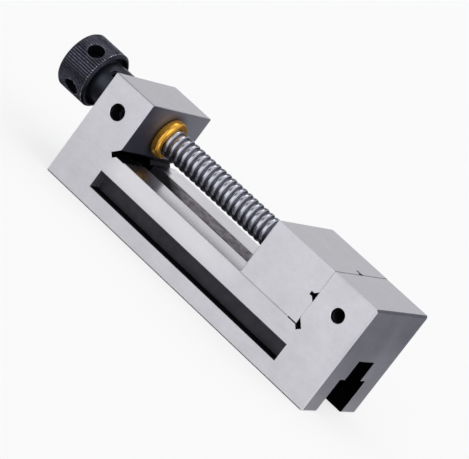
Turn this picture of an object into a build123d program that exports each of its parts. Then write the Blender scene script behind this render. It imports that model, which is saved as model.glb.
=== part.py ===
from build123d import *
import os
from math import cos, pi, sin, sqrt

os.makedirs("parts", exist_ok=True)

# All sizes are millimetres. X runs along the screw from the knob to the fixed jaw,
# Y across the rails, Z up. The origin lies under the middle of the overall length.

# Ground steel body
body_length = 190.0
body_width = 63.0
body_height = 63.0
jaw_depth = 32.5
nut_block_length = 28.0
fixed_jaw_length = 30.0
end_chamfer = 1.2
outer_chamfer = 0.8
fine_chamfer = 0.3

# Inverted tee slot, open at the bottom over the whole length
channel_width = 30.0
channel_height = 20.5
neck_width = 18.5
neck_above_rail = 1.8

# Clamping pockets in both sides
pocket_start = 25.5
pocket_length = 137.5
pocket_bottom = 9.5
pocket_height = 10.0
pocket_depth = 8.0

# Grinding reliefs in the two inner corners
relief_width = 3.1
relief_reach = 1.9
dip_depth = 0.45
dip_length = 5.5

# Movable jaw with its keel
jaw_length = 40.0
keel_side_gap = 0.1
keel_setback = 1.0
slide_gap = 0.1
groove_below_top = 16.0
groove_mouth = 5.6
groove_relief_width = 2.0
groove_depth = 3.65

# Lead screw with a 4 mm right hand trapezoidal thread, drawn at its major diameter
screw_diameter = 16.0
screw_below_top = 15.5
screw_chamfer = 0.8
tail_diameter = 12.0
nose_diameter = 12.0
nose_length = 15.9
neck_root_diameter = 7.0
neck_play = 0.2
jaw_face_gap = 0.4
running_gap = 0.05

# Bronze nut with a round flange
nut_diameter = 20.0
nut_length = 24.0
nut_end_gap = 0.2
flange_diameter = 22.6
flange_thickness = 5.5
flange_round = 2.0
outer_bore_diameter = 17.2

# Two dowels that hold the screw nose in the jaw
pin_diameter = 4.0
pin_from_rear = 9.5
pin_above_axis = 5.7
pin_recess = 0.3
pin_root_gap = 0.1
pad_thickness = 3.0
pad_gap = 0.1

# Plate that holds the jaw down in the channel
plate_length = 36.0
plate_side_gap = 0.25
plate_thickness = 10.0
plate_chamfer = 0.5
plate_screw_spacing = 16.0

# Tapped holes, drawn at their core diameter
m6_core = 5.0
m6_clearance = 6.6
m6_head_diameter = 10.0
m6_head_height = 6.0
m6_length = 16.0
m6_socket = 5.0
head_side_gap = 0.5
head_recess = 0.4
m8_core = 6.8
m8_depth = 16.0
m8_mouth = 0.6
m10_core = 8.5
m10_length = 12.0
m10_socket = 5.0
m10_mouth = 0.4
lock_from_rear = 13.4
socket_depth = 3.0

# Knurled knob with its hub
knob_diameter = 33.6
knob_length = 20.4
knob_overhang = 39.0
knob_front_chamfer = 1.2
knob_rear_round = 1.6
rim_bore_diameter = 29.6
rim_recess = 3.0
hub_diameter = 24.0
hub_gap = 2.0
hub_chamfer = 0.5
hub_flare = 1.5
knurl_count = 72
knurl_depth = 0.4
tommy_count = 4
tommy_diameter = 9.0
tommy_from_rear = 11.3
tommy_floor_radius = 7.6
tommy_mouth = 0.8
knob_turn = 46.0
set_screw_length = 5.0
set_screw_socket = 3.0
set_screw_mouth = 0.4
set_screw_from_front = 10.5
shaft_recess = 0.6
center_hole_diameter = 3.2
center_hole_mouth = 6.0
center_hole_depth = 5.0

# Places worked out from the sizes
overall_length = knob_overhang + body_length
x_rear = -overall_length / 2
x_end = overall_length / 2
x_body = x_rear + knob_overhang
x_nut = x_body + nut_block_length
x_fixed = x_end - fixed_jaw_length
x_jaw = x_fixed - jaw_length
x_hub = x_body - hub_gap
x_rim = x_rear + knob_length
x_pin = x_jaw + pin_from_rear
x_nose = x_jaw + nose_length
x_lock = x_body + lock_from_rear
rail_height = body_height - jaw_depth
screw_height = body_height - screw_below_top
keel_bottom = channel_height - slide_gap
half_width = body_width / 2
pin_offset = neck_root_diameter / 2 + pin_root_gap + pin_diameter / 2


def side_face(points):
    # A face seen from the side, given as x and z
    return make_face(Plane.XZ * Polyline(*points, close=True))


def across(points, width):
    # A prism over the width of the vise from a side outline
    return extrude(side_face(points), amount=width / 2, both=True)


def along(points, start, end):
    # A prism along the vise from an end outline given as y and z
    face = make_face(Plane.YZ * Polyline(*points, close=True))
    return Pos(start, 0, 0) * extrude(face, amount=end - start, dir=(1, 0, 0))


def upright(points, bottom, top):
    # A prism standing on a plan outline given as x and y
    face = make_face(Plane.XY * Polyline(*points, close=True))
    return Pos(0, 0, bottom) * extrude(face, amount=top - bottom, dir=(0, 0, 1))


def block(x0, x1, y0, y1, z0, z1):
    middle = Pos((x0 + x1) / 2, (y0 + y1) / 2, (z0 + z1) / 2)
    return middle * Box(x1 - x0, y1 - y0, z1 - z0)


def turned(points):
    # A body turned round the screw axis, given as x and radius
    face = make_face(Plane.XZ * Polyline(*points, close=True))
    return Pos(0, 0, screw_height) * revolve(face, Axis.X)


def rod(x0, x1, diameter):
    place = Pos((x0 + x1) / 2, 0, screw_height) * Rot(0, 90, 0)
    return place * Cylinder(diameter / 2, x1 - x0)


def clipped(x0, x1, z0, z1, first, last):
    # A rectangle with its corners cut off, by first at its low end and by last at its high end
    return [
        (x0, z0 + first),
        (x0, z1 - first),
        (x0 + first, z1),
        (x1 - last, z1),
        (x1, z1 - last),
        (x1, z0 + last),
        (x1 - last, z0),
        (x0 + first, z0),
    ]


def corner(x, side):
    # Relief slot and shallow dip where a rail meets a block that lies toward side
    step = relief_width / sqrt(2)
    floor = rail_height - dip_depth
    toe = (x + side * relief_reach, floor - relief_reach)
    return [
        (x, floor + 2 * step),
        (toe[0] + side * step, toe[1] + step),
        toe,
        (x, floor),
        (x - side * dip_length, floor),
        (x - side * dip_length, rail_height),
    ]


def side_hole(x, z, core, inner, mouth):
    # A hole along Y from the near side to y = inner, with a chamfered mouth
    depth = half_width + inner
    drill = Pos(x, -half_width + depth / 2, z) * Rot(90, 0, 0) * Cylinder(core / 2, depth)
    sink = Pos(x, -half_width + mouth / 2, z) * Rot(90, 0, 0)
    return drill + sink * Cone(core / 2, core / 2 + mouth, mouth)


def socket_prism(across_flats, depth):
    # A hexagon socket that opens at the top of its own frame
    hexagon = RegularPolygon(across_flats / 2, 6, major_radius=False)
    return Pos(0, 0, -depth) * extrude(hexagon, amount=depth)


# Body with nut block, rails and fixed jaw in one piece
outline = (
    [
        (x_body, fine_chamfer),
        (x_body, body_height - fine_chamfer),
        (x_body + fine_chamfer, body_height),
        (x_nut - fine_chamfer, body_height),
        (x_nut, body_height - fine_chamfer),
    ]
    + corner(x_nut, -1)
    + corner(x_fixed, 1)[::-1]
    + [
        (x_fixed, body_height - fine_chamfer),
        (x_fixed + fine_chamfer, body_height),
        (x_end - end_chamfer, body_height),
        (x_end, body_height - end_chamfer),
        (x_end, outer_chamfer),
        (x_end - outer_chamfer, 0),
        (x_body + fine_chamfer, 0),
    ]
)
end_outline = clipped(-half_width, half_width, 0, body_height, outer_chamfer, outer_chamfer)
plan_outline = clipped(x_body, x_end, -half_width, half_width, fine_chamfer, end_chamfer)
body = across(outline, body_width)
body = body & along(end_outline, x_body, x_end)
body = body & upright(plan_outline, 0, body_height)

inner_edges = body.edges().filter_by(Axis.Z).filter_by(
    lambda e: min(abs(e.center().X - x_nut), abs(e.center().X - x_fixed)) < fine_chamfer / 2
    and abs(e.center().Y) > half_width - fine_chamfer
)
rail_edges = body.edges().filter_by(Axis.X).filter_by(
    lambda e: abs(e.center().Z - rail_height) < fine_chamfer / 2
    and abs(e.center().Y) > half_width - fine_chamfer
)
body = chamfer(inner_edges + rail_edges, fine_chamfer)

channel = block(x_body, x_end, -channel_width / 2, channel_width / 2, 0, channel_height)
neck_top = rail_height + neck_above_rail
neck = block(x_body, x_end, -neck_width / 2, neck_width / 2, 0, neck_top)
body = body - channel - neck
pocket_x = x_body + pocket_start
pocket_top = pocket_bottom + pocket_height
for side in (-1, 1):
    near = side * half_width
    far = side * (half_width - pocket_depth)
    body = body - block(
        pocket_x,
        pocket_x + pocket_length,
        min(near, far),
        max(near, far),
        pocket_bottom,
        pocket_top,
    )

body = body - rod(x_nut - nut_length - nut_end_gap, x_nut, nut_diameter)
body = body - rod(x_body, x_nut, outer_bore_diameter)
mouth_radius = outer_bore_diameter / 2 + outer_chamfer
body = body - turned(
    [
        (x_body, 0),
        (x_body, mouth_radius),
        (x_body + outer_chamfer, outer_bore_diameter / 2),
        (x_body + outer_chamfer, 0),
    ]
)
lock_floor = -nut_diameter / 2
body = body - side_hole(x_lock, screw_height, m10_core, lock_floor + outer_chamfer, m10_mouth)
x_stop = x_fixed + fixed_jaw_length / 2
stop_floor = m8_depth - half_width
body = body - side_hole(x_stop, screw_height, m8_core, stop_floor, m8_mouth)
export_step(body, "parts/vise_body.step")

# Flanged nut pressed into the nut block from the rail side
flange_end = x_nut + flange_thickness
nut_radius = nut_diameter / 2
flange_radius = flange_diameter / 2
nut_bore = screw_diameter + 2 * running_gap
mouth_end = nut_bore / 2 + fine_chamfer
round_step = flange_round * (1 - cos(pi / 4))
nut = turned(
    [
        (x_nut - nut_length, 0),
        (x_nut - nut_length, nut_radius),
        (x_nut, nut_radius),
        (x_nut, flange_radius),
        (flange_end - flange_round, flange_radius),
        (flange_end - round_step, flange_radius - round_step),
        (flange_end, flange_radius - flange_round),
        (flange_end, mouth_end),
        (flange_end - fine_chamfer, nut_bore / 2),
        (flange_end - fine_chamfer, 0),
    ]
)
nut = nut - rod(x_nut - nut_length, flange_end, nut_bore)
export_step(nut, "parts/flanged_nut.step")

# Grub screw that locks the nut from the near side
lock = Cylinder(m10_core / 2, m10_length, align=(Align.CENTER, Align.CENTER, Align.MAX))
lock = chamfer(lock.edges().filter_by(GeomType.CIRCLE), fine_chamfer)
lock = lock - socket_prism(m10_socket, socket_depth)
lock_place = Pos(x_lock, lock_floor - m10_length, screw_height) * Rot(90, 0, 0)
export_step(lock_place * lock, "parts/nut_lock_screw.step")

# Movable jaw
jaw_outline = clipped(x_jaw, x_fixed, rail_height, body_height, fine_chamfer, fine_chamfer)
jaw_end = clipped(-half_width, half_width, rail_height, body_height, fine_chamfer, fine_chamfer)
jaw_plan = clipped(x_jaw, x_fixed, -half_width, half_width, fine_chamfer, fine_chamfer)
jaw = across(jaw_outline, body_width)
jaw = jaw & along(jaw_end, x_jaw, x_fixed)
jaw = jaw & upright(jaw_plan, rail_height, body_height)
keel_half = neck_width / 2 - keel_side_gap
keel_rear = x_jaw + keel_setback
keel_front = x_fixed - keel_setback
keel_top = rail_height + fine_chamfer
jaw = jaw + block(keel_rear, keel_front, -keel_half, keel_half, keel_bottom, keel_top)

half_mouth = groove_mouth / 2 + keel_setback
half_relief = groove_relief_width / 2
taper_end = x_fixed + keel_setback - (half_mouth - half_relief)
groove = [
    (x_fixed + keel_setback, half_mouth),
    (taper_end, half_relief),
    (x_fixed - groove_depth, half_relief),
    (x_fixed - groove_depth, -half_relief),
    (taper_end, -half_relief),
    (x_fixed + keel_setback, -half_mouth),
]
level_groove = Pos(0, 0, body_height - groove_below_top) * across(groove, body_width)
jaw = jaw - level_groove - upright(groove, keel_bottom, body_height)

nose_bore = nose_diameter + 2 * running_gap
x_pad = x_nose + pad_gap
jaw = jaw - rod(x_jaw, x_pad + pad_thickness, nose_bore)
pin_top = screw_height + pin_above_axis
pin_bottom = keel_bottom + pin_recess
for side in (-1, 1):
    pin_hole = Cylinder(pin_diameter / 2, pin_top - keel_bottom)
    pin_middle = (pin_top + keel_bottom) / 2
    jaw = jaw - Pos(x_pin, side * pin_offset, pin_middle) * pin_hole

plate_bottom = keel_bottom - plate_thickness
seat = plate_bottom + head_recess + m6_head_height
tap_top = seat + m6_length + socket_depth
x_plate = (x_jaw + x_fixed) / 2
plate_screws = [x_plate - plate_screw_spacing / 2, x_plate + plate_screw_spacing / 2]
for x in plate_screws:
    tap = Cylinder(m6_core / 2, tap_top - keel_bottom)
    jaw = jaw - Pos(x, 0, (tap_top + keel_bottom) / 2) * tap
export_step(jaw, "parts/movable_jaw.step")

# Dowels beside the groove of the screw nose
pins = []
for side in (-1, 1):
    pin = Cylinder(pin_diameter / 2, pin_top - pin_bottom)
    pins.append(Pos(x_pin, side * pin_offset, (pin_top + pin_bottom) / 2) * pin)
export_step(Compound(children=pins), "parts/retaining_pins.step")

# Thrust pad at the bottom of the nose bore
pad = rod(x_pad, x_pad + pad_thickness, nose_bore)
export_step(pad, "parts/thrust_pad.step")

# Hold down plate under the keel
plate_half = channel_width / 2 - plate_side_gap
plate = block(
    x_plate - plate_length / 2,
    x_plate + plate_length / 2,
    -plate_half,
    plate_half,
    plate_bottom,
    keel_bottom,
)
plate = chamfer(plate.edges(), plate_chamfer)
head_hole = m6_head_diameter + 2 * head_side_gap
for x in plate_screws:
    through = Cylinder(m6_clearance / 2, plate_thickness)
    plate = plate - Pos(x, 0, plate_bottom + plate_thickness / 2) * through
    sink = Cylinder(head_hole / 2, seat - plate_bottom)
    plate = plate - Pos(x, 0, (seat + plate_bottom) / 2) * sink
export_step(plate, "parts/hold_down_plate.step")

# Two socket head screws that hold the plate
bolt = Cylinder(m6_head_diameter / 2, m6_head_height, align=(Align.CENTER, Align.CENTER, Align.MAX))
bolt = chamfer(bolt.edges().filter_by(GeomType.CIRCLE).sort_by(Axis.Z)[-1], fine_chamfer)
bolt = bolt - socket_prism(m6_socket, socket_depth)
shank_align = (Align.CENTER, Align.CENTER, Align.MAX)
bolt = bolt + Pos(0, 0, -m6_head_height) * Cylinder(m6_core / 2, m6_length, align=shank_align)
bolts = []
for x in plate_screws:
    bolts.append(Pos(x, 0, seat - m6_head_height) * Rot(180, 0, 0) * bolt)
export_step(Compound(children=bolts), "parts/hold_down_screws.step")

# Lead screw with its tail in the knob and its nose in the jaw
tail_radius = tail_diameter / 2
screw_radius = screw_diameter / 2
nose_radius = nose_diameter / 2
root_radius = neck_root_diameter / 2
x_tail = x_rear + shaft_recess
x_thread_end = x_jaw - jaw_face_gap
half_neck = pin_diameter / 2 + neck_play
screw = turned(
    [
        (x_tail, 0),
        (x_tail, tail_radius - hub_chamfer),
        (x_tail + hub_chamfer, tail_radius),
        (x_hub, tail_radius),
        (x_hub, screw_radius - screw_chamfer),
        (x_hub + screw_chamfer, screw_radius),
        (x_thread_end - screw_chamfer, screw_radius),
        (x_thread_end, screw_radius - screw_chamfer),
        (x_thread_end, nose_radius),
        (x_pin - half_neck, nose_radius),
        (x_pin - half_neck, root_radius),
        (x_pin + half_neck, root_radius),
        (x_pin + half_neck, nose_radius),
        (x_nose - hub_chamfer, nose_radius),
        (x_nose, nose_radius - hub_chamfer),
        (x_nose, 0),
    ]
)
mouth_depth = (center_hole_mouth - center_hole_diameter) / 2
screw = screw - turned(
    [
        (x_tail, 0),
        (x_tail, center_hole_mouth / 2),
        (x_tail + mouth_depth, center_hole_diameter / 2),
        (x_tail + center_hole_depth, center_hole_diameter / 2),
        (x_tail + center_hole_depth, 0),
    ]
)
export_step(screw, "parts/lead_screw.step")

# Straight knurled knob, drilled across for a tommy bar
knob_radius = knob_diameter / 2
core_radius = knob_radius - knurl_depth
pitch = 2 * pi / knurl_count
half_groove = knurl_depth / knob_radius
teeth = []
for i in range(knurl_count):
    middle = i * pitch
    teeth += [
        (knob_radius * cos(middle - half_groove), knob_radius * sin(middle - half_groove)),
        (core_radius * cos(middle), core_radius * sin(middle)),
        (knob_radius * cos(middle + half_groove), knob_radius * sin(middle + half_groove)),
    ]
x_knurl = x_rear + knob_rear_round
x_knurl_end = x_rim - knob_front_chamfer
knob = Pos(0, 0, screw_height) * along(teeth, x_knurl, x_knurl_end)
round_in = knob_rear_round * (1 - cos(pi / 4))
knob = knob + turned(
    [
        (x_rear, 0),
        (x_rear, core_radius - knob_rear_round),
        (x_rear + round_in, core_radius - round_in),
        (x_knurl, core_radius),
        (x_knurl, 0),
    ]
)
knob = knob + turned(
    [
        (x_knurl_end, 0),
        (x_knurl_end, core_radius),
        (x_rim, core_radius - knob_front_chamfer + knurl_depth),
        (x_rim, 0),
    ]
)
knob = knob - rod(x_rim - rim_recess, x_rim, rim_bore_diameter)
hub_radius = hub_diameter / 2
hub = turned(
    [
        (x_rim - rim_recess - hub_flare, 0),
        (x_rim - rim_recess - hub_flare, hub_radius + hub_flare),
        (x_rim - rim_recess, hub_radius + hub_flare),
        (x_rim - rim_recess + hub_flare, hub_radius),
        (x_hub - hub_chamfer, hub_radius),
        (x_hub, hub_radius - hub_chamfer),
        (x_hub, 0),
    ]
)
knob = knob + hub
knob = knob - rod(x_rear, x_hub, tail_diameter)
x_tommy = x_rear + tommy_from_rear
tommy_radius = tommy_diameter / 2
tommy = make_face(
    Plane.XZ
    * Polyline(
        (0, tommy_floor_radius),
        (tommy_radius, tommy_floor_radius),
        (tommy_radius, knob_radius - tommy_mouth),
        (tommy_radius + 2 * tommy_mouth, knob_radius + tommy_mouth),
        (0, knob_radius + tommy_mouth),
        close=True,
    )
)
tommy = revolve(tommy, Axis.Z)
for i in range(tommy_count):
    angle = knob_turn + i * 360 / tommy_count
    knob = knob - Pos(x_tommy, 0, screw_height) * Rot(angle, 0, 0) * tommy
x_set = x_hub - set_screw_from_front
set_place = Pos(x_set, 0, screw_height) * Rot(knob_turn, 0, 0)
set_hole = Cylinder(m6_core / 2, hub_radius, align=(Align.CENTER, Align.CENTER, Align.MIN))
set_mouth = Pos(0, 0, hub_radius - set_screw_mouth) * Cone(
    m6_core / 2,
    m6_core / 2 + 2 * set_screw_mouth,
    2 * set_screw_mouth,
    align=(Align.CENTER, Align.CENTER, Align.MIN),
)
knob = knob - set_place * (set_hole + set_mouth)
export_step(knob, "parts/clamping_knob.step")

# Grub screw that fixes the knob on the tail of the lead screw
grub = Cylinder(m6_core / 2, set_screw_length, align=(Align.CENTER, Align.CENTER, Align.MAX))
grub = chamfer(grub.edges().filter_by(GeomType.CIRCLE), fine_chamfer)
grub = grub - socket_prism(set_screw_socket, socket_depth)
grub_top = tail_radius + set_screw_length
export_step(set_place * Pos(0, 0, grub_top) * grub, "parts/knob_set_screw.step")
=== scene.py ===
import bmesh
import bpy
from math import cos, pi, radians, sin
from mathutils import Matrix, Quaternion, Vector


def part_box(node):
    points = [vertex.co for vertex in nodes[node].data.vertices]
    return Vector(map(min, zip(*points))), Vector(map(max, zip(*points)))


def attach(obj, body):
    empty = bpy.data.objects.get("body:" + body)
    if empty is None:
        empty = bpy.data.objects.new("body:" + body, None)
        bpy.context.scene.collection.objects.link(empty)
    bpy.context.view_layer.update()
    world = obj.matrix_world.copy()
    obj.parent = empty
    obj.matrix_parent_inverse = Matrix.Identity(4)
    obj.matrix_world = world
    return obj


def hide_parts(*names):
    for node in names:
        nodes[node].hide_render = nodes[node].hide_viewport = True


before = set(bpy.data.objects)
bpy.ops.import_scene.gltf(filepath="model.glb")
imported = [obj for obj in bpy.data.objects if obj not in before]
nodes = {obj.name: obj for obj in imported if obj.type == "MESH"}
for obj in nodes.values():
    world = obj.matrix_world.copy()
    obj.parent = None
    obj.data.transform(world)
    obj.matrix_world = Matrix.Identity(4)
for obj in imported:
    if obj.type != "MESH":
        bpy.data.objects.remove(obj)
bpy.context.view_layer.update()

mm = 0.001

# Sizes of the solids in millimetres, where X runs along the screw, Y across and Z up
HALF_WIDTH = 31.5
TOP_Z = 63.0
RAIL_Z = 30.5
CHANNEL_Z = 20.5
HALF_NECK = 9.25
HALF_CHANNEL = 15.0
X_HUB = -77.5
X_BODY = -75.5
X_NUT = -47.5
X_FIXED = 84.5
X_END = 114.5
X_LOCK_HOLE = -62.1
X_STOP_HOLE = 99.5
X_TOMMY = -103.2
TOMMY_TURN = radians(46)
POCKET_X = (-50.0, 87.5)
POCKET_Z = (9.5, 19.5)
KNOB_RADIUS = 16.8
SCREW_Z = 47.5
LEAD = 4.0
MAJOR_RADIUS = 8.0


# Meshes
MERGE = 0.002


def mesh_object(name, points, faces, sharp=32):
    mesh = bpy.data.meshes.new(name)
    mesh.from_pydata([Vector(p) * mm for p in points], [], faces)
    mesh.validate()
    work = bmesh.new()
    work.from_mesh(mesh)
    bmesh.ops.remove_doubles(work, verts=work.verts, dist=MERGE * mm)
    bmesh.ops.recalc_face_normals(work, faces=work.faces)
    work.to_mesh(mesh)
    work.free()
    obj = bpy.data.objects.new(name, mesh)
    bpy.context.scene.collection.objects.link(obj)
    mesh.shade_smooth()
    mesh.set_sharp_from_angle(angle=radians(sharp))
    return obj


def on_screw(x, radius, angle):
    return (x, radius * cos(angle), SCREW_Z + radius * sin(angle))


def arc(x, radius, size, first, last, steps):
    """Points of (x, radius) on a round between two angles in degrees. Zero points along the screw."""
    turns = [radians(first + (last - first) * k / steps) for k in range(steps + 1)]
    return [(x + size * cos(turn), radius + size * sin(turn)) for turn in turns]


def lathe(profile, steps, close_ends=True):
    """Points and faces of a profile of (x, radius) turned round the screw axis."""
    points, faces = [], []
    for x, radius in profile:
        for k in range(steps):
            points.append(on_screw(x, radius, 2 * pi * k / steps))
    for i in range(len(profile) - 1):
        for k in range(steps):
            a, b = i * steps + k, i * steps + (k + 1) % steps
            faces.append((a, b, b + steps, a + steps))
    if close_ends:
        faces.append(tuple(range(steps)))
        last = (len(profile) - 1) * steps
        faces.append(tuple(range(last, last + steps)))
    return points, faces


def strip_faces(count, width):
    """Faces between count + 1 rows of points, each row width points long."""
    faces = []
    for k in range(count):
        for j in range(width - 1):
            a = k * width + j
            faces.append((a, a + 1, a + 1 + width, a + width))
    return faces


# Thread form in millimetres: one turn has a flat root, a small fillet and a crest that is an arc
MINOR_RADIUS = 6.6
CREST = 2.6
CREST_MIDDLE = 2.55
CREST_ANGLE = radians(38)
CREST_STEPS = 8
ROOT_START = ((0.0, 0.0), (0.45, 0.0), (0.6, 0.12), (0.72, 0.4))
ROOT_END = ((LEAD - 0.12, 0.4), (LEAD, 0.0))
RUN_OUT = 0.8


def thread_section():
    """Outline of one turn of the thread, as (x, radius)."""
    bow = CREST / 2 / sin(CREST_ANGLE)
    section = [(x, MINOR_RADIUS + rise) for x, rise in ROOT_START]
    for k in range(CREST_STEPS + 1):
        turn = CREST_ANGLE * (2 * k / CREST_STEPS - 1)
        section.append((CREST_MIDDLE + bow * sin(turn), MAJOR_RADIUS - bow * (1 - cos(turn))))
    return section + [(x, MINOR_RADIUS + rise) for x, rise in ROOT_END]


def thread(x0, x1, steps):
    """Right-hand trapezoidal thread between x0 and x1, as strips that follow the helix."""
    section = thread_section()
    count = (int((x1 - x0) / LEAD) + 2) * steps
    points = []
    for k in range(count + 1):
        angle = 2 * pi * k / steps
        shift = x0 - LEAD + LEAD * k / steps
        for dx, radius in section:
            x = min(max(shift + dx, x0), x1)
            taper = min(x - x0, x1 - x, RUN_OUT)
            points.append(on_screw(x, min(radius, MAJOR_RADIUS - RUN_OUT + taper), angle))
    return points, strip_faces(count, len(section))


def joined(parts):
    points, faces = [], []
    for new_points, new_faces in parts:
        shift = len(points)
        points += new_points
        faces += [tuple(i + shift for i in f) for f in new_faces]
    return points, faces


# Shader nodes
WINDOW = (0.3, 0.7)
SOFT = 0.04


def rgba(color):
    return (*color, 1.0)


class Shader:
    """A material with short names for the nodes that the finishes use."""

    def __init__(self, name):
        self.material = bpy.data.materials.new(name)
        self.material.use_nodes = True
        self.tree = self.material.node_tree
        self.bsdf = self.tree.nodes["Principled BSDF"]

    def node(self, kind, **values):
        made = self.tree.nodes.new(kind)
        for key, value in values.items():
            setattr(made, key, value)
        return made

    def link(self, source, target):
        self.tree.links.new(source, target)

    def put(self, socket, value):
        if isinstance(value, bpy.types.NodeSocket):
            self.link(value, socket)
        else:
            socket.default_value = value

    def finish(self, color, rough, metallic, bump):
        """Connects the four results to the shader. A metallic that is a number is set on its socket."""
        inputs = self.bsdf.inputs
        self.link(color, inputs["Base Color"])
        self.link(rough, inputs["Roughness"])
        self.put(inputs["Metallic"], metallic)
        self.link(bump, inputs["Normal"])
        return self.material

    def math(self, operation, a, b=0.0, clamp=False):
        made = self.node("ShaderNodeMath", operation=operation, use_clamp=clamp)
        self.put(made.inputs[0], a)
        self.put(made.inputs[1], b)
        return made.outputs[0]

    def total(self, first, *others):
        for other in others:
            first = self.math("ADD", first, other)
        return first

    def product(self, first, *others):
        for other in others:
            first = self.math("MULTIPLY", first, other)
        return first

    def length(self, a, b):
        return self.math("SQRT", self.total(self.product(a, a), self.product(b, b)))

    def stretched(self, scale, detail, stretch, roughness=0.55):
        """Noise in the object's own coordinates, stretched along the axes."""
        place = self.node("ShaderNodeTexCoord")
        mapping = self.node("ShaderNodeMapping")
        mapping.inputs["Scale"].default_value = stretch
        self.link(place.outputs["Object"], mapping.inputs["Vector"])
        noise = self.node("ShaderNodeTexNoise")
        noise.inputs["Scale"].default_value = scale
        noise.inputs["Detail"].default_value = detail
        noise.inputs["Roughness"].default_value = roughness
        self.link(mapping.outputs["Vector"], noise.inputs["Vector"])
        return noise.outputs["Fac"]

    def noise(self, scale, detail, roughness=0.55):
        """Noise that is alike in all directions."""
        return self.stretched(scale, detail, (1.0, 1.0, 1.0), roughness)

    def ramp(self, value, low, high, out_low=0.0, out_high=1.0):
        made = self.node("ShaderNodeMapRange")
        made.inputs["From Min"].default_value = low
        made.inputs["From Max"].default_value = high
        made.inputs["To Min"].default_value = out_low
        made.inputs["To Max"].default_value = out_high
        self.put(made.inputs["Value"], value)
        return made.outputs["Result"]

    def spread(self, noise, low, high):
        """The middle of a noise, stretched out from low to high."""
        return self.ramp(noise, *WINDOW, low, high)

    def fade(self, length, zone, at_start=0.0, at_end=1.0):
        """A change from at_start to at_end over a zone, which is two lengths in millimetres."""
        return self.ramp(length, zone[0] * mm, zone[1] * mm, at_start, at_end)

    def mix(self, factor, a, b):
        made = self.node("ShaderNodeMix", data_type="FLOAT")
        self.put(made.inputs[0], factor)
        self.put(made.inputs[2], a)
        self.put(made.inputs[3], b)
        return made.outputs[0]

    def mix_color(self, factor, a, b):
        made = self.node("ShaderNodeMix", data_type="RGBA")
        self.put(made.inputs[0], factor)
        for socket, color in ((made.inputs[6], a), (made.inputs[7], b)):
            self.put(socket, rgba(color) if isinstance(color, tuple) else color)
        return made.outputs[2]

    def bump(self, height, distance, strength):
        made = self.node("ShaderNodeBump")
        made.inputs["Strength"].default_value = strength
        made.inputs["Distance"].default_value = distance * mm
        self.link(height, made.inputs["Height"])
        return made.outputs["Normal"]

    def parts(self, vector):
        split = self.node("ShaderNodeSeparateXYZ")
        self.link(vector, split.inputs[0])
        return split.outputs

    def axes(self, output):
        """X, Y and Z of the object's own coordinates or of its own normal."""
        return self.parts(self.node("ShaderNodeTexCoord").outputs[output])

    def inside(self, place, box):
        """One inside the box, zero outside, from the object's own coordinates."""
        found = None
        for axis, (low, high) in enumerate(box):
            for edge, sign in ((low, 1), (high, -1)):
                if edge is None:
                    continue
                side = self.fade(place[axis], (edge - SOFT, edge + SOFT), sign < 0, sign > 0)
                found = side if found is None else self.product(found, side)
        return found

    def any_box(self, place, boxes):
        found = self.inside(place, boxes[0])
        for box in boxes[1:]:
            found = self.math("MAXIMUM", found, self.inside(place, box))
        return found

    def axis_distance(self):
        """Distance from the screw axis."""
        place = self.axes("Object")
        return self.length(place[1], self.math("SUBTRACT", place[2], SCREW_Z * mm))

    def edges(self, radius, low, high):
        """One on the sharp edges and zero on the faces."""
        soft = self.node("ShaderNodeBevel", samples=6)
        soft.inputs["Radius"].default_value = radius * mm
        true = self.node("ShaderNodeNewGeometry")
        dot = self.node("ShaderNodeVectorMath", operation="DOT_PRODUCT")
        self.link(soft.outputs["Normal"], dot.inputs[0])
        self.link(true.outputs["Normal"], dot.inputs[1])
        return self.ramp(dot.outputs["Value"], 1.0 - low, 1.0 - high)

    def specks(self, scale, size, share):
        """Sparse small round dots: the size of a dot is a share of its cell."""
        place = self.node("ShaderNodeTexCoord")
        cells = self.node("ShaderNodeTexVoronoi")
        cells.inputs["Scale"].default_value = scale
        self.link(place.outputs["Object"], cells.inputs["Vector"])
        split = self.node("ShaderNodeSeparateColor")
        self.link(cells.outputs["Color"], split.inputs[0])
        dot = self.ramp(cells.outputs["Distance"], size / 2, size, 1.0, 0.0)
        picked = self.math("GREATER_THAN", split.outputs[0], 1.0 - share)
        return self.product(dot, picked)


# Ground steel. Colours are red, green and blue, zones are lengths in millimetres
STEEL_DULL = (0.53, 0.52, 0.55)
STEEL_BRIGHT = (0.93, 0.92, 0.955)
# Lighter edges: partly wear, partly a painted highlight
EDGE_WEAR_AND_HIGHLIGHT = (0.96, 0.96, 0.97)
DENT = (0.2, 0.2, 0.22)
WHITE = (1.0, 1.0, 1.0)


def ground_face(s, cloud):
    """Colour, roughness and grinding lines, which run along the vise and across it on the end faces."""
    facing_end = s.ramp(s.math("ABSOLUTE", s.axes("Normal")[0]), 0.6, 0.8)

    def grinding(detail, length, width, roughness=0.55):
        along = s.stretched(1.0, detail, (length, width, width), roughness)
        across = s.stretched(1.0, detail, (width, length, width), roughness)
        return s.mix(facing_end, along, across)

    lines = grinding(3.0, 9.0, 4200.0, 0.6)
    broad = grinding(2.0, 4.0, 420.0)
    grain = s.stretched(900.0, 2.0, (0.4, 1.0, 1.0))
    tone = s.total(
        s.spread(lines, -0.025, 0.025),
        s.spread(broad, -0.02, 0.02),
        s.spread(cloud, -0.15, 0.15),
        s.spread(grain, -0.04, 0.04),
    )
    color = s.mix_color(s.math("ADD", tone, 0.5, clamp=True), STEEL_DULL, STEEL_BRIGHT)
    color = s.mix_color(s.product(s.specks(160.0, 0.07, 0.3), 0.45), color, DENT)
    color = s.mix_color(s.product(s.specks(95.0, 0.1, 0.35), 0.5), color, WHITE)
    # Sharp edges lighter: partly wear, partly a painted highlight
    color = s.mix_color(s.product(s.edges(0.3, 0.03, 0.25), 0.5), color, EDGE_WEAR_AND_HIGHLIGHT)
    rough = s.total(s.spread(lines, 0.29, 0.37), s.spread(cloud, -0.03, 0.03))
    return color, rough, lines


# Painted shade on the nut block's inner face
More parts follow.
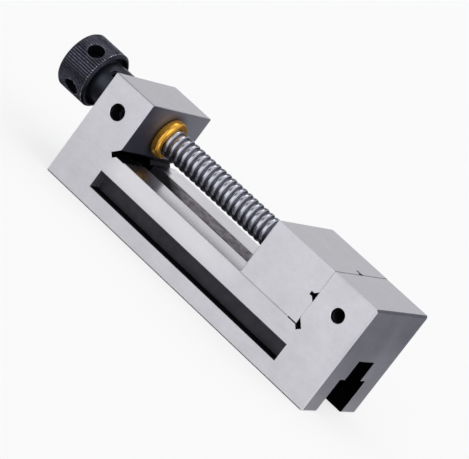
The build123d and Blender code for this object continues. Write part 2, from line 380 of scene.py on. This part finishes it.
INNER_SHADE_DARK = (0.07, 0.073, 0.1)
INNER_SHADE_LIGHT = (0.135, 0.138, 0.185)
INNER_SHADE_SLOPE = 1.2
INNER_SHADE_FADES = (40.0, 85.0)
INNER_FACE_ROUGH = 0.6
# Painted shadow round the nut's flange
FLANGE_SHADOW = (0.03, 0.03, 0.036)
FLANGE_SHADOW_ENDS = (11.3, 15.5)


def inner_face_shade(s, place, cloud, faces, color, rough):
    """Painted shade on the nut block's inner face, lighter towards the far top, and a painted black
    shadow round the flange.
    """
    # Painted shade: the inner face darker, most on the near side and low down
    on_inner_face = s.any_box(place, faces)
    slope = s.total(place[1], s.product(place[2], INNER_SHADE_SLOPE))
    inner_shade = s.product(on_inner_face, s.fade(slope, INNER_SHADE_FADES, 1.0, 0.45))
    color = s.mix_color(inner_shade, color, s.mix_color(cloud, INNER_SHADE_DARK, INNER_SHADE_LIGHT))
    # Painted shadow: the inner face black round the flange
    flange_shadow = s.product(on_inner_face, s.fade(s.axis_distance(), FLANGE_SHADOW_ENDS, 0.55, 0.0))
    return s.mix_color(flange_shadow, color, FLANGE_SHADOW), s.mix(inner_shade, rough, INNER_FACE_ROUGH)


RAIL_TOPS = (
    (X_NUT - 0.1, X_FIXED),
    (-HALF_WIDTH - 0.1, HALF_WIDTH + 0.1),
    (RAIL_Z - 0.5, RAIL_Z + 0.02),
)
MIDDLE = (-1.0, 1.0)
POLISHED = (0.97, 0.96, 0.99)
NEAR_POLISH = (-24.0, -12.0)
RIM_DARK = (0.2, 0.2, 0.22)
NEAR_RIM = (-HALF_WIDTH, -28.0)
FAR_RIM = (10.4, 11.6)
# Painted shade on the rails beside the nut block
RAIL_SHADE = (0.06, 0.06, 0.07)
NEAR_SLANT = 0.6
NEAR_SHADE_FADES = (-60.0, -36.0)
NEAR_SHADE_ENDS = (-38.0, -27.0)
FAR_SLANT = 0.5
FAR_SHADE_ENDS = (-36.5, -31.0)
LAPPED_ENDS = (-24.0, -10.0)
RAIL_ROUGH = 0.24
LAPPED_ROUGH = 0.18


def rail_shades(s, place, color, rough):
    """Rails that the jaw has polished, with painted shade and lapping beside the nut block and darker
    along two rims.
    """
    rail = s.inside(place, RAIL_TOPS)
    far = s.fade(place[1], MIDDLE)
    polish = s.mix(far, s.fade(place[1], NEAR_POLISH, 0.0, 0.45), 0.5)
    # Both rims of the rails darker
    rim = s.mix(far, s.fade(place[1], NEAR_RIM, 0.4, 0.0), s.fade(place[1], FAR_RIM, 0.95, 0.0))
    # Painted shade: the rails dark beside the nut block, fading along a slant
    slant = s.total(place[0], s.product(place[1], NEAR_SLANT))
    near_shade = s.product(s.fade(slant, NEAR_SHADE_FADES, 1.0, 0.62), s.fade(slant, NEAR_SHADE_ENDS, 1.0, 0.0))
    slant = s.total(place[0], s.product(place[1], FAR_SLANT))
    shade_on_rail = s.mix(far, near_shade, s.fade(slant, FAR_SHADE_ENDS, 0.93, 0.0))
    color = s.mix_color(s.product(rail, polish), color, POLISHED)
    color = s.mix_color(s.product(rail, rim), color, RIM_DARK)
    color = s.mix_color(s.product(rail, shade_on_rail, 0.5), color, RAIL_SHADE)
    lapped = s.product(rail, s.fade(place[0], LAPPED_ENDS, 1.0, 0.0))
    return color, s.mix(rail, rough, s.mix(lapped, RAIL_ROUGH, LAPPED_ROUGH))


NEAR_FACE = (-HALF_WIDTH + 0.2, -HALF_WIDTH + 0.3)
STRIP_LOW = (18.0, 24.0)
STRIP_HIGH = (RAIL_Z - 0.1, RAIL_Z + 0.5)
STRIP_REAR = (-52.0, -40.0)
STRIP_FRONT = (20.0, 50.0)
END_FACE = (X_END - 0.2, X_END - 0.1)
# Painted light on the foot of the end face
FOOT_PAINTED_LIGHT = (1.0, 0.98, 0.95)
FOOT_ENDS = (6.0, 40.0)
# Painted shade lines on some edges
EDGE_LINE_SHADE = (0.12, 0.12, 0.13)


def outer_shades(s, place, color, shade_lines):
    """Lighter strip over the near pocket, painted light on the foot of the end face and painted shade
    lines on some edges.
    """
    strip = s.product(
        s.fade(place[1], NEAR_FACE, 1.0, 0.0),
        s.fade(place[2], STRIP_LOW),
        s.fade(place[2], STRIP_HIGH, 0.5, 0.0),
        s.fade(place[0], STRIP_REAR),
        s.fade(place[0], STRIP_FRONT, 1.0, 0.0),
    )
    color = s.mix_color(strip, color, WHITE)
    # Painted light: the end face lighter towards its foot
    foot = s.product(s.fade(place[0], END_FACE), s.fade(place[2], FOOT_ENDS, 0.8, 0.0))
    color = s.mix_color(foot, color, FOOT_PAINTED_LIGHT)
    # Painted shade lines along some edges
    return s.mix_color(s.product(s.any_box(place, shade_lines), 0.75), color, EDGE_LINE_SHADE)


MILLED_DARK = (0.24, 0.215, 0.24)
MILLED_LIGHT = (0.6, 0.565, 0.61)
MILLED_ROUGH = 0.5
MILLED_METALLIC = 0.25
UNLIT = (0.012, 0.012, 0.014)
UNLIT_SLOPE = 1.6
UNLIT_ENDS = (10.5, 22.0)


def milled_color(s, place):
    """Streaks of the cutter, black at the unlit end beside the nut block."""
    streaks = s.stretched(1.0, 4.0, (240.0, 800.0, 800.0), 0.75)
    color = s.mix_color(s.ramp(streaks, 0.36, 0.64), MILLED_DARK, MILLED_LIGHT)
    slope = s.total(place[0], s.product(place[2], UNLIT_SLOPE))
    return s.mix_color(s.fade(slope, UNLIT_ENDS, 0.97, 0.0), color, UNLIT)


# Boxes are low and high x, y and z in millimetres, and None leaves a side open
ANY = (None, None)
MARGIN = 0.3
BLACKENED_DARK = (0.04, 0.04, 0.046)
BLACKENED_LIGHT = (0.1, 0.098, 0.11)
BLACKENED_ROUGH = 0.6
# Painted light on the rear end of the pockets
POCKET_END_LIGHT = (0.33, 0.33, 0.38)
POCKET_END_BOX = (
    (POCKET_X[0] - MARGIN, POCKET_X[0] + 0.1),
    ANY,
    (POCKET_Z[0] - MARGIN, POCKET_Z[1] + MARGIN),
)
# Painted shade on the floor of the pockets
POCKET_FLOOR_SHADE = (0.006, 0.006, 0.008)
POCKET_FLOOR_BOX = (
    (POCKET_X[0] - MARGIN, POCKET_X[1] + MARGIN),
    ANY,
    (POCKET_Z[0] - MARGIN, POCKET_Z[0] + 0.1),
)
SLOT_BLACK = (0.002, 0.002, 0.003)


def blackened_color(s, place):
    """Blackened hollows. The pockets have painted light on their rear end and a painted shade on their
    floor.
    """
    color = s.mix_color(s.noise(160.0, 4.0), BLACKENED_DARK, BLACKENED_LIGHT)
    color = s.mix_color(s.inside(place, POCKET_END_BOX), color, POCKET_END_LIGHT)
    return s.mix_color(s.inside(place, POCKET_FLOOR_BOX), color, POCKET_FLOOR_SHADE)


def ground_steel(name, shaded, milled, shaded_faces, black, shade_lines):
    """Surface-ground tool steel.

    shaded lists the boxes whose inside is blackened, milled those that were only milled, stained those
    that get painted shade, black the unlit slots and sooty the strips with a painted shade line, each as
    low and high x, y and z in millimetres. Without stained boxes the shades of the inner face, rails and
    outer faces are left out.
    """
    s = Shader(name)
    place = s.axes("Object")
    cloud = s.noise(46.0, 4.0, 0.62)
    color, rough, lines = ground_face(s, cloud)
    if shaded_faces:
        color, rough = inner_face_shade(s, place, cloud, shaded_faces, color, rough)
        color, rough = rail_shades(s, place, color, rough)
        color = outer_shades(s, place, color, shade_lines)
    worked = s.any_box(place, milled)
    dark = s.any_box(place, shaded)
    color = s.mix_color(worked, color, milled_color(s, place))
    color = s.mix_color(dark, color, blackened_color(s, place))
    if black:
        deep = s.any_box(place, black)
        color = s.mix_color(deep, color, SLOT_BLACK)
        dark = s.math("MAXIMUM", dark, deep)
    rough = s.mix(dark, s.mix(worked, rough, MILLED_ROUGH), BLACKENED_ROUGH)
    metallic = s.mix(dark, s.mix(worked, 1.0, MILLED_METALLIC), 1.0)
    return s.finish(color, rough, metallic, s.bump(lines, 0.012, 0.5))


# Turned and blackened metal
def turned_metal(name, dark, light, rough, rings_scale=5200.0, metallic=1.0):
    """Turned metal with fine rings round the screw axis. Its roughness lies between the two of rough."""
    s = Shader(name)
    rings = s.stretched(1.0, 2.0, (rings_scale, 25.0, 25.0))
    spots = s.noise(260.0, 3.0)
    level = s.math("ADD", s.spread(rings, 0.25, 0.6), s.ramp(spots, 0.3, 0.75, 0.0, 0.35), clamp=True)
    color = s.mix_color(level, dark, light)
    return s.finish(color, s.spread(spots, *rough), metallic, s.bump(rings, 0.008, 0.4))


UNSHADED_DARK = (0.36, 0.365, 0.41)
UNSHADED_LIGHT = (0.66, 0.67, 0.74)
# Painted shade in the roots and flanks of the thread
ROOT_SHADE_DARK = (0.2, 0.2, 0.24)
ROOT_SHADE_LIGHT = (0.44, 0.44, 0.5)
OILY_ROUGH = 0.4
# Painted shade on the underside of the screw
UNDERSIDE_SHADE = (0.045, 0.045, 0.06)


def screw_steel(name):
    """Turned steel, bright on the crests, with painted shade in the roots of the thread, rougher there,
    and painted shade on its underside.
    """
    s = Shader(name)
    # Painted shade: the roots and flanks of the thread darker
    groove = s.fade(s.axis_distance(), (MAJOR_RADIUS - 0.7, MAJOR_RADIUS - 0.3), 1.0, 0.0)
    rings = s.stretched(1.0, 2.0, (3600.0, 60.0, 60.0))
    spots = s.noise(300.0, 4.0, 0.65)
    level = s.math("ADD", s.spread(rings, 0.2, 0.6), s.ramp(spots, 0.3, 0.75, 0.0, 0.4), clamp=True)
    unshaded = s.mix_color(level, UNSHADED_DARK, UNSHADED_LIGHT)
    color = s.mix_color(groove, unshaded, s.mix_color(spots, ROOT_SHADE_DARK, ROOT_SHADE_LIGHT))
    # Painted shade: faces that point down in the world are darker
    upward = s.parts(s.node("ShaderNodeNewGeometry").outputs["Normal"])[2]
    color = s.mix_color(s.ramp(upward, -0.3, 0.15, 0.7, 0.0), color, UNDERSIDE_SHADE)
    rough = s.mix(groove, s.spread(spots, 0.16, 0.28), OILY_ROUGH)
    return s.finish(color, rough, 1.0, s.bump(rings, 0.008, 0.5))


OXIDE_DARK = (0.012, 0.012, 0.02)
OXIDE_LIGHT = (0.04, 0.04, 0.058)
# Lighter edges: partly wear, partly a painted glint
OXIDE_WEAR_AND_GLINT = (0.17, 0.17, 0.2)
OXIDE_METALLIC = 0.8
KNURL_X = (-112.8, -95.3)
# Painted shade in the knurl grooves
KNURL_GROOVE_SHADE = (0.003, 0.003, 0.006)
# Painted glints on the knurl ridges
RIDGE_GLINT = (0.15, 0.15, 0.2)
KNOB_RIM_X = (-95.8, -95.25)
# Painted glint on the front rim of the knurling
KNOB_RIM_GLINT = (0.6, 0.6, 0.66)
MOUTH_RADIUS = (5.0, 5.35)
# Painted highlight round the tommy-bar holes
MOUTH_HIGHLIGHT = (0.16, 0.16, 0.2)
HUB_X = (-97.0, -77.0)
HUB_RADIUS = (12.3, 13.3)
HUB = (0.04, 0.044, 0.056)


def tommy_mouths(s, place, radius, patches):
    """A painted highlight round the mouths of the four tommy-bar holes."""
    up = s.math("SUBTRACT", place[2], SCREW_Z * mm)
    first = s.total(s.product(place[1], cos(TOMMY_TURN)), s.product(up, sin(TOMMY_TURN)))
    second = s.math("SUBTRACT", s.product(up, cos(TOMMY_TURN)), s.product(place[1], sin(TOMMY_TURN)))
    off_axis = s.math("MINIMUM", s.math("ABSOLUTE", first), s.math("ABSOLUTE", second))
    along = s.math("SUBTRACT", place[0], X_TOMMY * mm)
    return s.product(
        s.fade(s.length(along, off_axis), MOUTH_RADIUS, 1.0, 0.0),
        s.fade(radius, (KNOB_RADIUS - 0.7, KNOB_RADIUS - 0.4)),
        s.ramp(patches, 0.36, 0.6, 0.1, 0.8),
    )


def knurl_shades(s, place, radius, patches, color):
    """Painted shade in the grooves, painted glints on the ridges and a bright painted glint on the rim of
    the knurling.
    """
    ridge = s.fade(radius, (KNOB_RADIUS - 0.3, KNOB_RADIUS - 0.06))
    # Painted shade: the knurl grooves nearly black
    groove = s.product(
        s.inside(place, (KNURL_X, ANY, ANY)),
        s.fade(radius, (KNOB_RADIUS - 0.35, KNOB_RADIUS - 0.1), 0.8, 0.0),
        s.fade(radius, (KNOB_RADIUS - 0.9, KNOB_RADIUS - 0.6)),
    )
    # Painted glint along the front rim of the knurling
    rim = s.product(s.inside(place, (KNOB_RIM_X, ANY, ANY)), ridge, s.ramp(patches, 0.44, 0.64, 0.1, 1.0))
    color = s.mix_color(groove, color, KNURL_GROOVE_SHADE)
    # Painted glints on the knurl ridges
    color = s.mix_color(s.product(ridge, s.ramp(patches, 0.38, 0.64, 0.08, 0.75)), color, RIDGE_GLINT)
    return s.mix_color(rim, color, KNOB_RIM_GLINT)


def black_oxide(name):
    """Black-oxide steel, satin, with slightly greyer spots and lighter edges, partly wear and partly a
    painted glint.
    """
    s = Shader(name)
    place = s.axes("Object")
    radius = s.axis_distance()
    spots = s.noise(420.0, 4.0, 0.65)
    cloud = s.noise(70.0, 2.0)
    patches = s.noise(900.0, 3.0, 0.7)
    level = s.math("ADD", s.ramp(spots, 0.35, 0.75, 0.0, 0.6), s.spread(cloud, 0.0, 0.4), clamp=True)
    color = s.mix_color(level, OXIDE_DARK, OXIDE_LIGHT)
    # Lighter edges: partly wear, partly a painted glint
    wear_and_glint = s.product(s.edges(0.25, 0.04, 0.3), s.ramp(patches, 0.4, 0.62, 0.15, 1.0))
    color = s.mix_color(wear_and_glint, color, OXIDE_WEAR_AND_GLINT)
    color = knurl_shades(s, place, radius, patches, color)
    # Painted highlight round the tommy-bar holes
    color = s.mix_color(tommy_mouths(s, place, radius, patches), color, MOUTH_HIGHLIGHT)
    hub = s.product(s.inside(place, (HUB_X, ANY, ANY)), s.fade(radius, HUB_RADIUS, 0.7, 0.0))
    color = s.mix_color(hub, color, HUB)
    return s.finish(color, s.spread(spots, 0.3, 0.42), OXIDE_METALLIC, s.bump(spots, 0.02, 0.35))


# Boxes for the finishes of body and jaw, where SKIN and INSET stay just short of the outer faces
SKIN = HALF_WIDTH - 0.08
INSET = HALF_WIDTH - 0.2
CLEAR = 0.05
ACROSS = (-SKIN, SKIN)
NECK_Y = (-HALF_NECK - 0.15, HALF_NECK + 0.15)
CHANNEL_Y = (-HALF_CHANNEL - 0.1, HALF_CHANNEL + 0.1)
RELIEF_Z = (26.0, 34.8)
UNDERCUT_Z = (26.0, RAIL_Z - 0.5)
RELIEF_REAR = X_NUT - 5.5
RELIEF_FRONT = X_FIXED + 5.5
TOP_EDGE_Z = (TOP_Z - 0.28, TOP_Z + 0.1)
BLOCK_X = (X_BODY + 0.2, X_NUT - 0.2)
HOLE_REACH = 4.5


def mirrored(box):
    """The box and its mirror image on the far side."""
    x, (y0, y1), z = box
    return [box, (x, (-y1, -y0), z)]


pocket = (
    (POCKET_X[0] - CLEAR, POCKET_X[1] + CLEAR),
    (-HALF_WIDTH - 0.02, -20.0),
    (POCKET_Z[0] - 0.25, POCKET_Z[1] + 0.24),
)
hollows = [
    *mirrored(pocket),
    ((RELIEF_REAR, X_NUT - 0.1), ACROSS, RELIEF_Z),
    ((RELIEF_REAR, X_NUT + 3.1), ACROSS, UNDERCUT_Z),
    ((X_FIXED + 0.1, RELIEF_FRONT), ACROSS, RELIEF_Z),
    ((X_FIXED - 3.1, RELIEF_FRONT), ACROSS, UNDERCUT_Z),
]
neck_walls = [((X_NUT - 0.1, X_FIXED + 0.1), NECK_Y, (CHANNEL_Z + 0.1, RAIL_Z - 0.2))]
slots = [
    ((X_BODY + CLEAR, X_END - CLEAR), CHANNEL_Y, (CLEAR, CHANNEL_Z + 0.3)),
    ((X_FIXED + 0.1, X_END - CLEAR), NECK_Y, (CHANNEL_Z - 0.5, RAIL_Z + 2.0)),
    ((X_BODY + CLEAR, X_NUT - 0.1), NECK_Y, (CHANNEL_Z - 0.5, RAIL_Z + 2.0)),
    (
        (X_STOP_HOLE - HOLE_REACH, X_STOP_HOLE + HOLE_REACH),
        (-INSET, -15.0),
        (SCREW_Z - HOLE_REACH, SCREW_Z + HOLE_REACH),
    ),
    (
        (X_LOCK_HOLE - HOLE_REACH, X_LOCK_HOLE + HOLE_REACH),
        (-INSET, -9.0),
        (SCREW_Z - 5.0, SCREW_Z + 5.0),
    ),
    ((RELIEF_REAR, X_NUT - 0.1), (-SKIN, -2.0), RELIEF_Z),
]
nut_face = [((X_NUT - 0.15, X_NUT + 0.2), (-INSET, INSET), (RAIL_Z + 0.5, TOP_Z - 0.25))]
# Painted shade lines: the nut block's top edges, the top edge of the end face and the far rail's edge
# over the neck
shade_lines = [
    *mirrored((BLOCK_X, (-HALF_WIDTH - 0.1, -HALF_WIDTH + 0.9), TOP_EDGE_Z)),
    ((X_END - 0.5, X_END + 0.1), (-HALF_WIDTH + 0.5, HALF_WIDTH + 0.1), (TOP_Z - 0.8, TOP_Z + 0.1)),
    ((X_NUT + 1.5, X_FIXED - 0.5), (HALF_NECK - 0.05, HALF_NECK + 0.45), (RAIL_Z - 0.5, RAIL_Z + 0.1)),
]
jaw_grooves = [
    ((X_FIXED - 4.5, X_FIXED - 0.1), ACROSS, (44.0, 50.0)),
    ((X_FIXED - 4.5, X_FIXED - 0.1), (-3.0, 3.0), (RAIL_Z + 0.5, TOP_Z - 0.1)),
]
keel_sides = [((X_FIXED - 39.5, X_FIXED - 0.5), (-HALF_NECK - 0.05, HALF_NECK + 0.05), (20.0, RAIL_Z))]

steel = ground_steel("ground_steel_body", hollows, neck_walls, nut_face, slots, shade_lines)
jaw_steel = ground_steel("ground_steel_jaw", jaw_grooves, keel_sides, [], [], [])
bronze = turned_metal("nut_bronze", (0.56, 0.205, 0.012), (1.0, 0.57, 0.09), (0.13, 0.2), metallic=0.86)
screw_metal = screw_steel("screw_steel")
pin_metal = turned_metal("pin_steel", (0.5, 0.5, 0.51), (0.75, 0.75, 0.76), (0.2, 0.3))
plate_metal = turned_metal("plate_steel", (0.16, 0.16, 0.17), (0.3, 0.3, 0.31), (0.35, 0.5), 900.0)
tapped_metal = turned_metal("tapped_steel", (0.02, 0.02, 0.024), (0.1, 0.1, 0.11), (0.35, 0.5))
oxide = black_oxide("black_oxide_steel")

finishes = {
    "vise_body": steel,
    "flanged_nut": bronze,
    "nut_lock_screw": oxide,
    "movable_jaw": jaw_steel,
    "retaining_pins": pin_metal,
    "thrust_pad": pin_metal,
    "hold_down_plate": plate_metal,
    "hold_down_screws": oxide,
    "lead_screw": screw_metal,
    "clamping_knob": oxide,
    "knob_set_screw": oxide,
}
for node_name, material in finishes.items():
    data = nodes[node_name].data
    data.materials.clear()
    data.materials.append(material)

# Lead screw with its thread cut
low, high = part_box("lead_screw")
X_THREAD_END = 44.1
PLAIN = 6.0
CHAMFER = 0.5
CENTRE_HOLE = 1.6
CENTRE_DEPTH = 5.0
CENTRE_TAPER = 1.4
NOSE_GROOVE = 3.5
NOSE_GROOVE_X = (51.8, 56.2)
x_tail = low.x / mm
x_nose = high.x / mm
tail = lathe(
    [
        (x_tail + CENTRE_DEPTH, 0.1),
        (x_tail + CENTRE_DEPTH, CENTRE_HOLE),
        (x_tail + CENTRE_TAPER, CENTRE_HOLE),
        (x_tail, CENTRE_HOLE + CENTRE_TAPER),
        (x_tail, PLAIN - CHAMFER),
        (x_tail + CHAMFER, PLAIN),
        (X_HUB, PLAIN),
        (X_HUB, MINOR_RADIUS),
    ],
    steps=64,
)
nose = lathe(
    [
        (X_THREAD_END, MINOR_RADIUS),
        (X_THREAD_END, PLAIN),
        (NOSE_GROOVE_X[0], PLAIN),
        (NOSE_GROOVE_X[0], NOSE_GROOVE),
        (NOSE_GROOVE_X[1], NOSE_GROOVE),
        (NOSE_GROOVE_X[1], PLAIN),
        (x_nose - CHAMFER, PLAIN),
        (x_nose, PLAIN - CHAMFER),
    ],
    steps=64,
)
points, faces = joined([thread(X_HUB, X_THREAD_END, steps=48), tail, nose])
screw = mesh_object("threaded_lead_screw", points, faces, sharp=50)
screw.data.materials.append(screw_metal)
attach(screw, "screw")
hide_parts("lead_screw")

# Bronze nut with a fully rounded flange
nut_low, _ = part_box("flanged_nut")
FLANGE = 11.3
FLANGE_FRONT = X_NUT + 5.5
SHANK = 10.0
SHANK_CHAMFER = 0.4
BORE = 8.05
BORE_CHAMFER = 0.3
REAR_ROUND = 1.2
FRONT_ROUND = 2.2
x_back = nut_low.x / mm
profile = [
    (x_back, BORE),
    (x_back, SHANK - SHANK_CHAMFER),
    (x_back + SHANK_CHAMFER, SHANK),
    (X_NUT, SHANK),
    *arc(X_NUT + REAR_ROUND, FLANGE - REAR_ROUND, REAR_ROUND, 180, 90, 4),
    *arc(FLANGE_FRONT - FRONT_ROUND, FLANGE - FRONT_ROUND, FRONT_ROUND, 90, 0, 8),
    (FLANGE_FRONT, BORE + BORE_CHAMFER),
    (FLANGE_FRONT - BORE_CHAMFER, BORE),
    (x_back, BORE),
]
points, faces = lathe(profile, steps=96, close_ends=False)
nut = mesh_object("rounded_flange_nut", points, faces)
nut.data.materials.append(bronze)
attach(nut, "base")
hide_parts("flanged_nut")

# Threads in the two tapped holes of the near side, as helical ridges that stand out of the wall
RIDGE_STEPS = 40
RIDGE_HEIGHT = 0.3
RIDGE_SUNK = 0.05
RIDGE_TOP = (0.4, 0.6)


def tapped(name, x, core, pitch, y0, y1):
    section = (
        (0.0, core + RIDGE_SUNK),
        *((part, core - RIDGE_HEIGHT) for part in RIDGE_TOP),
        (1.0, core + RIDGE_SUNK),
    )
    points = []
    count = int((y1 - y0) / pitch * RIDGE_STEPS)
    for k in range(count + 1):
        angle = 2 * pi * k / RIDGE_STEPS
        for part, radius in section:
            y = min(y0 + pitch * (k / RIDGE_STEPS + part), y1)
            points.append((x + radius * cos(angle), y, SCREW_Z + radius * sin(angle)))
    ridge = mesh_object(name, points, strip_faces(count, len(section)))
    ridge.data.materials.append(tapped_metal)
    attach(ridge, "base")


tapped("lock_hole_thread", X_LOCK_HOLE, core=4.25, pitch=1.5, y0=-31.0, y1=-22.1)
tapped("stop_hole_thread", X_STOP_HOLE, core=3.4, pitch=1.25, y0=-30.8, y1=-16.0)

# Floor, in metres
REACH = 6.0
floor = bpy.data.objects.new("floor", bpy.data.meshes.new("floor"))
corners = [(-REACH, -REACH, 0), (REACH, -REACH, 0), (REACH, REACH, 0), (-REACH, REACH, 0)]
floor.data.from_pydata(corners, [], [(0, 1, 2, 3)])
bpy.context.scene.collection.objects.link(floor)
pale = Shader("pale_floor")
for socket, value in {
    "Base Color": rgba((0.15, 0.15, 0.15)),
    "Emission Color": rgba(WHITE),
    "Emission Strength": 0.74,
    "Roughness": 0.9,
    "Specular IOR Level": 0.1,
}.items():
    pale.bsdf.inputs[socket].default_value = value
floor.data.materials.append(pale.material)
floor.visible_glossy = False

bpy.context.scene.view_settings.view_transform = "Standard"

# Studio light: a pale room with soft bright and dark areas
ROOM = 0.78
# Direction, inner and outer angle in degrees, radiance. Each area lies over those before it
AREAS = {
    "dark far ceiling": ((-0.32, 0.61, 0.725), 12, 29, 0.12),
    "dark rear ceiling": ((-0.72, 0.5, 0.48), 12, 26, 0.12),
    "pale ceiling": ((-0.39, -0.25, 0.885), 9, 22, 0.95),
    "ceiling lamp": ((-0.22, 0.27, 0.94), 8, 16, 2.4),
    "card in front": ((-0.36, -0.93, 0.0), 19, 48, 1.16),
    "gap over the card": ((-0.39, -0.6, 0.7), 11, 23, 0.1),
    "dark rear wall": ((-0.95, -0.3, 0.05), 14, 30, 0.12),
    "gap under the card": ((-0.39, -0.66, -0.64), 16, 29, 0.03),
    "lamp in front": ((-0.1, -0.95, 0.3), 14, 30, 1.3),
    "lamp beyond the fixed jaw": ((0.86, -0.25, 0.44), 12, 30, 2.0),
    "flag": ((0.34, 0.9, 0.12), 14, 42, 0.08),
    "shade below": ((-0.2, 0.1, -0.98), 42, 62, 0.04),
    "glint from below": ((-0.39, 0.25, -0.88), 5, 13, 0.35),
}
ROOM_TINT = (0.97, 0.975, 1.0)
FLAG_TINT = (0.88, 0.89, 1.1)
world = bpy.data.worlds.new("studio")
bpy.context.scene.world = world
world.use_nodes = True
tree = world.node_tree
background = tree.nodes["Background"]
heading = tree.nodes.new("ShaderNodeTexCoord").outputs["Generated"]


def lobe(direction, inner, outer):
    """One near a direction of the room, fading to zero between two angles from it."""
    dot = tree.nodes.new("ShaderNodeVectorMath")
    dot.operation = "DOT_PRODUCT"
    tree.links.new(heading, dot.inputs[0])
    dot.inputs[1].default_value = Vector(direction).normalized()
    fade = tree.nodes.new("ShaderNodeMapRange")
    fade.interpolation_type = "SMOOTHSTEP"
    fade.inputs["From Min"].default_value = cos(radians(outer))
    fade.inputs["From Max"].default_value = cos(radians(inner))
    tree.links.new(dot.outputs["Value"], fade.inputs["Value"])
    return fade.outputs["Result"]


def blend(factor, under, over):
    """Radiance that goes from under, a number or a socket, to the number over as the factor rises."""
    made = tree.nodes.new("ShaderNodeMapRange")
    tree.links.new(factor, made.inputs["Value"])
    if isinstance(under, bpy.types.NodeSocket):
        tree.links.new(under, made.inputs["To Min"])
    else:
        made.inputs["To Min"].default_value = under
    made.inputs["To Max"].default_value = over
    return made.outputs["Result"]


radiance = ROOM
lobes = {}
for area, (direction, inner, outer, level) in AREAS.items():
    lobes[area] = lobe(direction, inner, outer)
    radiance = blend(lobes[area], radiance, level)
tree.links.new(radiance, background.inputs["Strength"])
tint = tree.nodes.new("ShaderNodeMix")
tint.data_type = "RGBA"
tree.links.new(lobes["flag"], tint.inputs[0])
tint.inputs[6].default_value = rgba(ROOM_TINT)
tint.inputs[7].default_value = rgba(FLAG_TINT)
tree.links.new(tint.outputs[2], background.inputs["Color"])

# The overhead light brightens the floor and the matt surfaces
sun = bpy.data.lights.new("overhead", "SUN")
sun.angle = radians(110)
sun.energy = 1.9
overhead = bpy.data.objects.new("overhead", sun)
overhead.rotation_euler = (radians(-8), radians(6), 0)
overhead.visible_glossy = False
bpy.context.scene.collection.objects.link(overhead)

# Camera, fitted to the corners of the vise in the photograph
camera_data = bpy.data.cameras.new("camera")
camera_data.sensor_width = 36.0
camera_data.lens = 210.353
camera_data.clip_start = 0.05
camera_data.clip_end = 60.0
camera = bpy.data.objects.new("camera", camera_data)
bpy.context.scene.collection.objects.link(camera)
camera.location = (0.55985, -1.23341, 0.35543)
camera.rotation_mode = "QUATERNION"
camera.rotation_quaternion = Quaternion((0.676493, 0.616237, -0.070865, 0.396972))
bpy.context.scene.camera = camera

bpy.context.view_layer.update()
